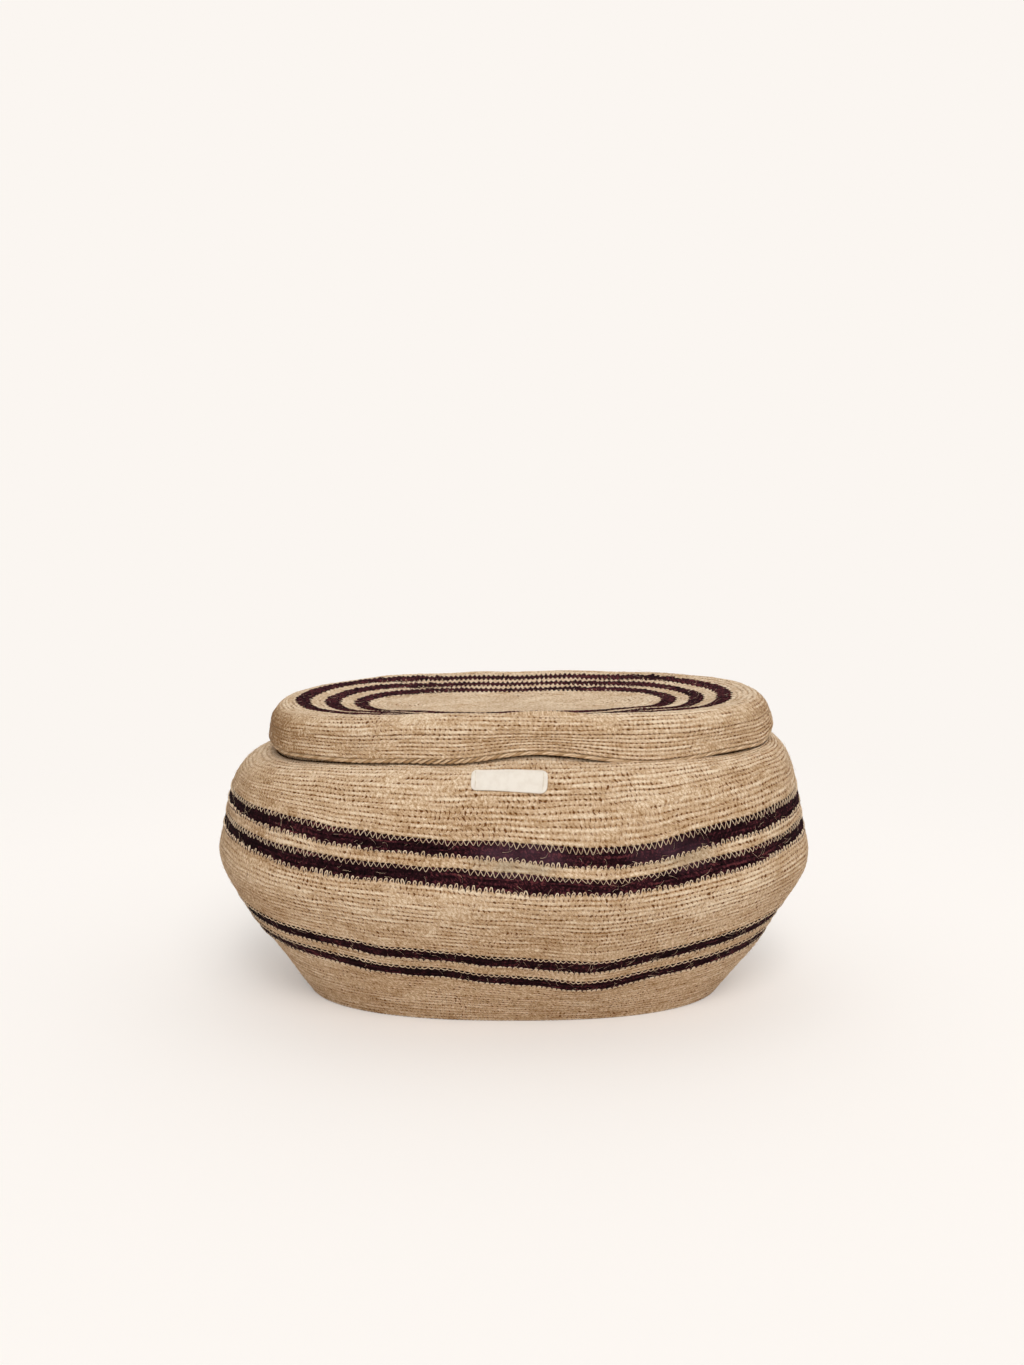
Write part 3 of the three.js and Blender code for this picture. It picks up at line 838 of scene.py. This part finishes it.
def grass(name, stops, pit, groove_shade, groove_depth, grey_patch, grey_patch_depth, roughness, sheen,
          specular, contrast=1):
    """Stitched grass: fibres along the rows, holes between the stitches and uneven tone, with
    painted shade in the holes and the grooves between the rows and a partly painted highlight on
    the rows' crests.
    """
    g = Graph(bpy.data.materials.new(name))
    u, v, _ = g.split(g.rows())
    spot = g.value("VectorMath", {0: g.value("TexCoord", output="Object"), 3: 1000},
                       operation="SCALE")
    waver = g.noise(spot, 0.33, 1)
    shifted_u = u + (waver - 0.5) * 0.9 + (v - g.math("ROUND", v)) * 0.3
    run = g.strip_noise(u, g.math("ROUND", v), 0.1, 3.71, 1)
    tone, fibre, felted = grass_tone(g, u, v, shifted_u, spot, contrast)
    # Painted shade in the grooves between the rows, in runs, deeper where the weave is open
    grooved = g.step(g.fold(v), 0.02, 0.2, groove_depth, 0) * g.step(run, 0.3, 0.56, 0.2, 1)
    grooved = grooved * g.step(g.attribute("open"), 0, 0.7, 0.25, 1)
    colour = g.mix(grooved, g.ramp(tone, stops), srgb(*groove_shade))
    # Painted shade in the holes between the stitches, over the pits that the relief also cuts
    colour = g.mix(weave_hole_shade(g, u, v, shifted_u, spot, run), colour, srgb(*pit))
    # Greyish patches painted on the upper stripes of the front
    colour = g.mix(grey_patches(g, spot) * grey_patch_depth, colour, srgb(*grey_patch))
    height = fibre * 0.5 + felted * 0.8
    return g.finish(colour, roughness, height, 0.0005, sheen, specular), name


def thread_grass(name, dark, light, slot):
    """Loose threads and legs of stitches."""
    g = Graph(bpy.data.materials.new(name))
    u, v, _ = g.split(g.rows())
    fibre = g.strip_noise(u, v, 5, 0.8, 3, 0.6)
    tone = g.step(fibre, 0.3, 0.7) + g.attribute("tone") * 0.16
    return g.finish(g.mix(tone, srgb(*dark), srgb(*light)), 0.7, fibre, 0.0001), slot


def cotton(name, base, shade, thread):
    """Plain woven tape, whose threads are a given width."""
    g = Graph(bpy.data.materials.new(name))
    u, v, _ = g.split(g.rows())
    turns = 2 * PI / thread
    weave = g.math("SINE", u * turns) * g.math("SINE", v * turns)
    blotch = g.noise(g.rows(), 0.16, 4, 0.6, "2D")
    colour = g.mix(g.step(blotch, 0.35, 0.75, 0, 0.45), srgb(*base), srgb(*shade))
    colour = g.mix(g.step(weave, -1, 1, 0, 0.16), colour, srgb(*shade))
    return g.finish(colour, 0.85, weave, 0.00008, sheen=0.1), name


# Each look is a material and the slot that its finish comes from
# The colours of the holes and of the grooves between the rows are painted shade
NATURAL = grass("natural_seagrass",
                ((0, (141, 105, 67)), (1, (230, 209, 180)), (0.3, (181, 149, 112)),
                 (0.55, (200, 170, 137)), (0.78, (215, 190, 160))),
                pit=(104, 62, 26), groove_shade=(154, 110, 64), groove_depth=0.55,
                grey_patch=(122, 116, 98), grey_patch_depth=0.55, roughness=0.74, sheen=0.04,
                specular=0.15)
DYED = grass("dyed_seagrass",
             ((0, (14, 5, 7)), (1, (92, 46, 48)), (0.35, (29, 11, 14)),
              (0.6, (42, 17, 22)), (0.8, (60, 27, 33))),
             pit=(10, 3, 4), groove_shade=(18, 6, 9), groove_depth=0.5, grey_patch=(100, 70, 82),
             grey_patch_depth=0.4, roughness=0.85, sheen=0, specular=0.04, contrast=1.1)
LIGHT_THREAD = thread_grass("light_thread", (190, 158, 124), (240, 218, 188), NATURAL[1])
CORD_GRASS = thread_grass("cord_grass", (172, 138, 98), (236, 210, 176), NATURAL[1])
DARK_THREAD = thread_grass("dark_thread", (26, 9, 14), (66, 28, 36), DYED[1])
COTTON = cotton("label_cotton", (240, 231, 218), (226, 214, 198), 0.45)
SEWING = thread_grass("label_thread", (214, 200, 180), (240, 230, 214), "label_thread")

# Every second band of the wall is dyed, and so are the lid's rings
WALL_EDGES = (0, *LOW_STRIPES, *BELLY_STRIPES, WALL.length)
WALL_BANDS = (("lower_wall", 16), ("lower_stripe_bottom", 3), ("lower_stripe_gap", 3),
              ("lower_stripe_top", 3), ("belly_wall", 16), ("belly_stripe_bottom", 4),
              ("belly_stripe_gap", 2), ("belly_stripe_top", 4), ("shoulder_wall", 16))
for i, (name, rows) in enumerate(WALL_BANDS):
    stitched_band(name, wall_profile, *WALL_EDGES[i:i + 2], rows, DYED if i % 2 else NATURAL)
stitched_band("neck_collar", collar_profile, 0, COLLAR.length, 8, NATURAL)
step = BASE.length / 3
for part in range(3):
    stitched_band(f"base_panel_{part + 1}", base_profile, max(part * step, 0.05), (part + 1) * step,
                  9, NATURAL, ["base_panel"])

LID_EDGES = (0, CREST_START, *RING_LENGTHS, (RING_LENGTHS[5] + LID.length) / 2,
             LID.length - 0.05)
LID_BANDS = (("lid_skirt", 6), ("lid_shoulder", 9), ("lid_ring_outer", 3), ("lid_gap_outer", 3),
             ("lid_ring_middle", 3), ("lid_gap_middle", 3), ("lid_ring_inner", 3),
             ("lid_centre_outer", 7), ("lid_centre_inner", 7))
for i, (name, rows) in enumerate(LID_BANDS):
    stitched_band(name, lid_profile, *LID_EDGES[i:i + 2], rows, DYED if "ring" in name else NATURAL,
                  ["lid_centre"] if "centre" in name else ())


def bound_rim():
    """The mouth rim, a coil with a slanted binding."""
    columns_each, sides, slant = 5, 20, 0.9
    stitches = round(around(collar_profile, COLLAR.length) / 3.4)
    columns = stitches * columns_each
    angle = (np.arange(sides) * 2 * PI / sides)[:, None]
    u = np.arange(columns) / columns_each
    turn = 4 * u / stitches + 0 * angle
    phase = u + slant * angle / (2 * PI)
    radius = RIM_RADIUS + 0.45 * np.abs(np.sin(PI * phase)) ** 0.6 - 0.5
    half = RIM_CENTRE[0] + radius * np.cos(angle)
    height = RIM_CENTRE[1] + radius * np.sin(angle)
    points = settled_point(half, height, turn, 1, False)
    corners, grid_j, grid_i = grid_corners(sides, columns, True)
    along = grid_i / columns_each + slant * grid_j / sides
    uvs = {"Rows": stack(along, np.full(along.shape, 0.5)),
           "OFBake": folded_map(grid_j, grid_i, sides, columns, 6)}
    values = {"open": np.zeros(turn.size), "tone": tone_ripple(turn, 350)}
    add_piece("mouth_rim_binding", points, corners, uvs, values, NATURAL, "basket",
              ["mouth_rim"])


bound_rim()


def twisted_cord():
    """The twisted cord along the edge of the skirt, loose left of the middle of the front."""
    strands, lay = 3, 16.5
    length = around(lid_profile, 0)
    twists = round(length / lay)
    steps = round(length / 1.1)
    turn = 4 * np.arange(steps + 1) / steps
    loose = np.clip(bell(turn, 2.79, 0.15) + 0.15 * np.abs(open_ripple(turn, 5)), 0, 1)
    orbit = lerp(0.7, 1.65, loose)
    thick = lerp(1.4, 1, loose)
    paths, normals = [], []
    for strand in range(strands):
        angle = 2 * PI * (twists * turn / 4 + strand / strands)
        half = CORD_CENTRE[0] + orbit * np.cos(angle)
        height = CORD_CENTRE[1] + 0.3 + orbit * np.sin(angle)
        paths.append(settled_point(half, height, turn, 1, True))
        normals.append(outward(lid_profile, turn, np.full(turn.shape, 1)))
    radii = np.tile(thick, (strands, 1))
    add_tubes("lid_edge_cord_twist", np.array(paths), np.array(normals), radii, 8, CORD_GRASS,
              "lid", ["lid_edge_cord"])


twisted_cord()


# Threads along the edges of the stripes
def loop(*half, sign=1):
    """The values of the points of a loop, from those of its first half."""
    return np.array([*half, *(sign * value for value in half[::-1])])


def thread_places(edge, width, first, jitter, sizes):
    """The turns of the threads' middles, the share of its length that each has, and how many."""
    count = round(around(wall_profile, edge) / width)
    middle = 4 * (np.arange(count) + first + rng.normal(0, jitter, count)) / count
    return middle[:, None], rng.uniform(*sizes, (count, 1)), count


def thread_tubes(turn, length, lift, radii, spread):
    radii = radii * rng.uniform(*spread, (len(turn), 1))
    return place(wall_profile, turn, length, lift), outward(wall_profile, turn, length), radii


def hanging_threads(edge):
    """Light legs of the next row that hang over the dyed one in a zigzag."""
    drop, thick = (3.6, 0.22) if edge in BELLY_STRIPES else (1.8, 0.28)
    middle, size, count = thread_places(edge, LOOP_WIDTH, 0, 0.07, (0.72, 1.18))
    down = loop(-0.22, 0.16, 0.62, 0.98)
    lean = rng.normal(0, 0.09, (count, 1)) * down
    turn = middle + (loop(-0.52, -0.4, -0.21, -0.05, sign=-1) + lean) * 4 / count
    lift = loop(-0.1, 0.2, 0.28, 0.1) + rng.normal(0, 0.05, (count, 1))
    radii = thick * loop(1.2, 1.1, 1, 0.9)
    return thread_tubes(turn, edge - drop * size * down, lift, radii, (0.75, 1.25))


def poking_threads(edge):
    """Short thick loops of the row before that reach over the edge."""
    rise, thick = 2.3 if edge in BELLY_STRIPES else 1, 0.44
    middle, size, count = thread_places(edge, POKE_WIDTH, 0, 0.08, (0.35, 1.35))
    up = loop(-0.35, 0.1, 0.6, 0.97)
    lean = rng.normal(0.05, 0.1, (count, 1)) * up
    across = loop(-0.3, -0.27, -0.2, -0.08, sign=-1) * rng.uniform(0.75, 1.1, (count, 1))
    turn = middle + (across + lean) * 4 / count
    radii = thick * loop(0.6, 1, 1, 0.9)
    lift = loop(-0.5, 0, 0.15, 0)
    return thread_tubes(turn, edge + rise * size * up, lift, radii, (0.7, 1.15))


def dyed_teeth(edge):
    """Dyed stitches that dip between the light loops into the row before."""
    reach, thick = 1.7, 0.42
    middle, size, count = thread_places(edge, POKE_WIDTH, 0.5, 0.1, (0.5, 1.3))
    down = np.array([-0.8, -0.2, 0.4, 0.8, 1])
    turn = middle + rng.normal(0, 0.1, (count, 1)) * down * 4 / count
    lift = np.array([-0.4, 0.1, 0.15, 0, -0.4])
    radii = thick * np.array([0.6, 1, 0.9, 0.6, 0.2])
    return thread_tubes(turn, edge - reach * size * down, lift, radii, (0.7, 1.2))


def stripe_threads(name, make, edges, look):
    points, normals, radii = (np.concatenate(group) for group in zip(*map(make, edges)))
    add_tubes(name, points, normals, radii, 5, look, "basket")


stripe_threads("stripe_top_threads", hanging_threads, STRIPE_TOPS, LIGHT_THREAD)
stripe_threads("stripe_bottom_threads", poking_threads, STRIPE_BOTTOMS, LIGHT_THREAD)
stripe_threads("stripe_bottom_dyed_threads", dyed_teeth, STRIPE_BOTTOMS, DARK_THREAD)


def loose_fibres(name, profile, low, high, count, body):
    """Fibres that lie on the weave, one in four of them standing up."""
    steps, each = 6, (count, 1)
    turn = rng.uniform(0, 4, each)
    length = rng.uniform(low, high, each)
    reach = rng.uniform(4, 11, each)
    heading = rng.normal(0, 0.8, each)
    bend = rng.normal(0, 1.1, each)
    along = np.linspace(0, 1, steps)
    angle = heading + bend * along
    perimeter = around(profile, (low + high) / 2)
    turns = turn + 4 * np.cumsum(np.cos(angle), 1) / steps * reach / perimeter
    lengths = length + np.cumsum(np.sin(angle), 1) / steps * reach
    rise = np.where(rng.uniform(0, 1, each) < 0.25, 1.8, 0.35)
    lift = -0.1 + rise * rng.uniform(0.4, 1.2, each) * along ** 1.5
    radii = 0.13 * (1 - 0.75 * along) * rng.uniform(0.7, 1.3, each)
    add_tubes(name, place(profile, turns, lengths, lift), outward(profile, turns, lengths),
              radii, 3, LIGHT_THREAD, body)


loose_fibres("body_fibres", wall_profile, 4, WALL.length - 14, 3200, "basket")
loose_fibres("lid_fibres", lid_profile, 1, LID.length - 20, 1700, "lid")


# The sewn label: columns run along its length and rows down it
LABEL_LENGTH, LABEL_WIDTH = 57, 16.5
LABEL_CORNERS = (4, 5)  # radii at the left and the right end
LABEL_TAPER = 1  # how far each long edge is turned in at the left end
LABEL_OFFSET, LABEL_TOP, LABEL_TURN = -4, 16.2, math.radians(2.6)
LABEL_THICKNESS, LABEL_GAP = 0.8, 0.45
LABEL_HEM = 0.22
STITCH_INSET = 3.2  # of the stitches from the ends


def on_shoulder(across, down, lift):
    """Points of the label's own directions, on the front of the shoulder."""
    length = (WALL.length - LABEL_TOP - down * math.cos(LABEL_TURN)
              - across * math.sin(LABEL_TURN))
    half, height, out, up = WALL.read(length)
    half, height = half + lift * out, height + lift * up
    x = LABEL_OFFSET + across * math.cos(LABEL_TURN) - down * math.sin(LABEL_TURN)
    # The shoulder's place before the neck moved, found by halving
    x = x + 0.6 - neck_shift(height)
    low, high = np.full(x.shape, 0.5), np.ones(x.shape)
    for _ in range(26):
        middle = (low + high) / 2
        outside = plan(half - CORE, middle)[0] > np.abs(x)
        low, high = np.where(outside, middle, low), np.where(outside, high, middle)
    y = -plan(half - CORE, high)[1]
    return drooped_point(x, y, height, wall_droop(length), False)


def label():
    columns, rows = 117, 41
    s = np.linspace(0, 1, columns)
    t = np.linspace(0, 1, rows)[:, None]
    along = s * LABEL_LENGTH
    radius = np.where(s < 0.5, *LABEL_CORNERS)
    short = np.maximum(0, radius - np.minimum(along, LABEL_LENGTH - along))
    cut = radius - np.sqrt(np.maximum(0, radius**2 - short**2)) + LABEL_TAPER * (1 - s)
    across = along - LABEL_LENGTH / 2 + 0 * t
    down = lerp(cut, LABEL_WIDTH - cut, t)
    # The tape is a little wavy, and its lower right corner curls up
    wave = 0.25 * np.sin(across * 0.23 + 1) * np.sin(down * 0.31)
    curl = 0.9 * ease(across, 20, 29) * ease(down, 8, 20)
    edge = np.minimum(np.minimum(s, 1 - s) * LABEL_LENGTH, np.minimum(t, 1 - t) * LABEL_WIDTH)
    hem = LABEL_HEM * ease(edge, 0, 0.7)
    over = on_shoulder(across, down, LABEL_GAP + LABEL_THICKNESS - 0.3 + hem + wave + curl)
    under = on_shoulder(across, down, LABEL_GAP - 0.45 + wave + curl)
    points = np.concatenate([over, under])
    count = rows * columns
    index = np.arange(count).reshape(rows, columns)
    top = stack(index[:-1, :-1], index[1:, :-1], index[1:, 1:], index[:-1, 1:])
    ring = np.concatenate([index[0, :-1], index[:-1, -1], index[-1, :0:-1], index[:0:-1, 0]])
    following = np.roll(ring, -1)
    sides = stack(ring, following, following + count, ring + count)
    top = top.reshape(-1, 4)
    corners = np.concatenate([top, top[:, ::-1] + count, sides])
    flat = np.tile(stack(across, down).reshape(-1, 2), (2, 1))
    item = add_piece("label_tape", points, corners, {"Rows": flat[corners]}, {}, COTTON, "basket",
                     ["front_label"])


def label_stitches(name, node, side):
    """Five stitches down one end of the label."""
    across = side * (LABEL_LENGTH / 2 - STITCH_INSET)
    down = np.linspace(2.5, LABEL_WIDTH - 2.5, 6)
    part = np.linspace(0.06, 0.94, 9)
    place_down = down[:-1, None] + np.diff(down)[:, None] * part
    lift = LABEL_GAP + LABEL_THICKNESS + 0.15 + 0.35 * np.sin(PI * (part - 0.06) / 0.88)
    shift = rng.normal(0, 0.15, (5, 1)) + 0 * place_down
    points = on_shoulder(across + shift, place_down, lift)
    ahead = on_shoulder(across + shift + 0.5, place_down, lift) - points
    below = on_shoulder(across + shift, place_down + 0.5, lift) - points
    normals = unit(np.cross(below, ahead))
    radii = np.full(place_down.shape, 0.3)
    add_tubes(name, points, normals, radii, 6, SEWING, "basket", [node])


label()
label_stitches("label_thread_left", "label_stitch_left", -1)
label_stitches("label_thread_right", "label_stitch_right", 1)


# The floor and the world, whose colour it fades into
BACKDROP = srgb(251, 246, 241)
WORLD_COLOUR, WORLD_LIGHT = (1, 0.985, 0.96, 1), 0.06
FLOOR_HALF = 20  # metres


def floor():
    g = Graph(bpy.data.materials.new("floor"))
    far = g.value("VectorMath", (g.value("TexCoord", output="Object"),), "Value",
                  operation="LENGTH")
    camera = g.value("LightPath", output="Is Camera Ray")
    lit = g.value("BsdfDiffuse", (BACKDROP,))
    glow = g.value("Emission", (BACKDROP, 1))
    lifted = g.value("MixShader", (camera * 0.3, lit, glow))
    shader = g.value("MixShader", (g.step(far, 0.55, 1.1) * camera, lifted, glow))
    g.node("OutputMaterial", (shader,))
    mesh = bpy.data.meshes.new("floor")
    corners = [(-1, -1), (1, -1), (1, 1), (-1, 1)]
    mesh.from_pydata([(FLOOR_HALF * x, FLOOR_HALF * y, 0) for x, y in corners], [], [(0, 1, 2, 3)])
    mesh.materials.append(g.owner)
    add_item("floor", mesh)


def world():
    g = Graph(bpy.data.worlds.new("studio"))
    scene.world = g.owner
    light = g.value("Background", (WORLD_COLOUR, WORLD_LIGHT))
    seen = g.value("Background", (BACKDROP, 1))
    camera = g.value("LightPath", output="Is Camera Ray")
    g.node("OutputWorld", (g.value("MixShader", (camera, light, seen)),))


def sun(name, direction, strength, angle):
    """A lamp that shines from a direction, as wide as its angle in degrees."""
    data = bpy.data.lights.new(name, "SUN")
    data.energy = strength
    data.angle = math.radians(angle)
    x, y, z = direction
    add_item(name, data).rotation_euler = (math.atan2(math.hypot(x, y), z), 0, math.atan2(x, -y))


floor()
world()
sun("top", (0.12, 0, 1), 1.62, 120)
sun("key", (0.15, -0.6, 0.7), 0.83, 30)
sun("front", (0, -0.7, 0.7), 0.76, 20)
sun("low", (-0.1, -1, 0.1), 0.5, 60)
sun("back", (0, 0.7, 0.7), 0.25, 60)

CAMERA_PLACE = (-0.0017, -1.201, 0.426)  # metres
CAMERA_DOWN = 8.05  # degrees below the horizon
CAMERA_LENS = 38.19
camera_data = bpy.data.cameras.new("camera")
camera_data.lens = CAMERA_LENS
camera = add_item("camera", camera_data)
camera.location = CAMERA_PLACE
camera.rotation_euler = (math.radians(90 - CAMERA_DOWN), 0, 0)
scene.camera = camera
scene.view_settings.view_transform = "Standard"
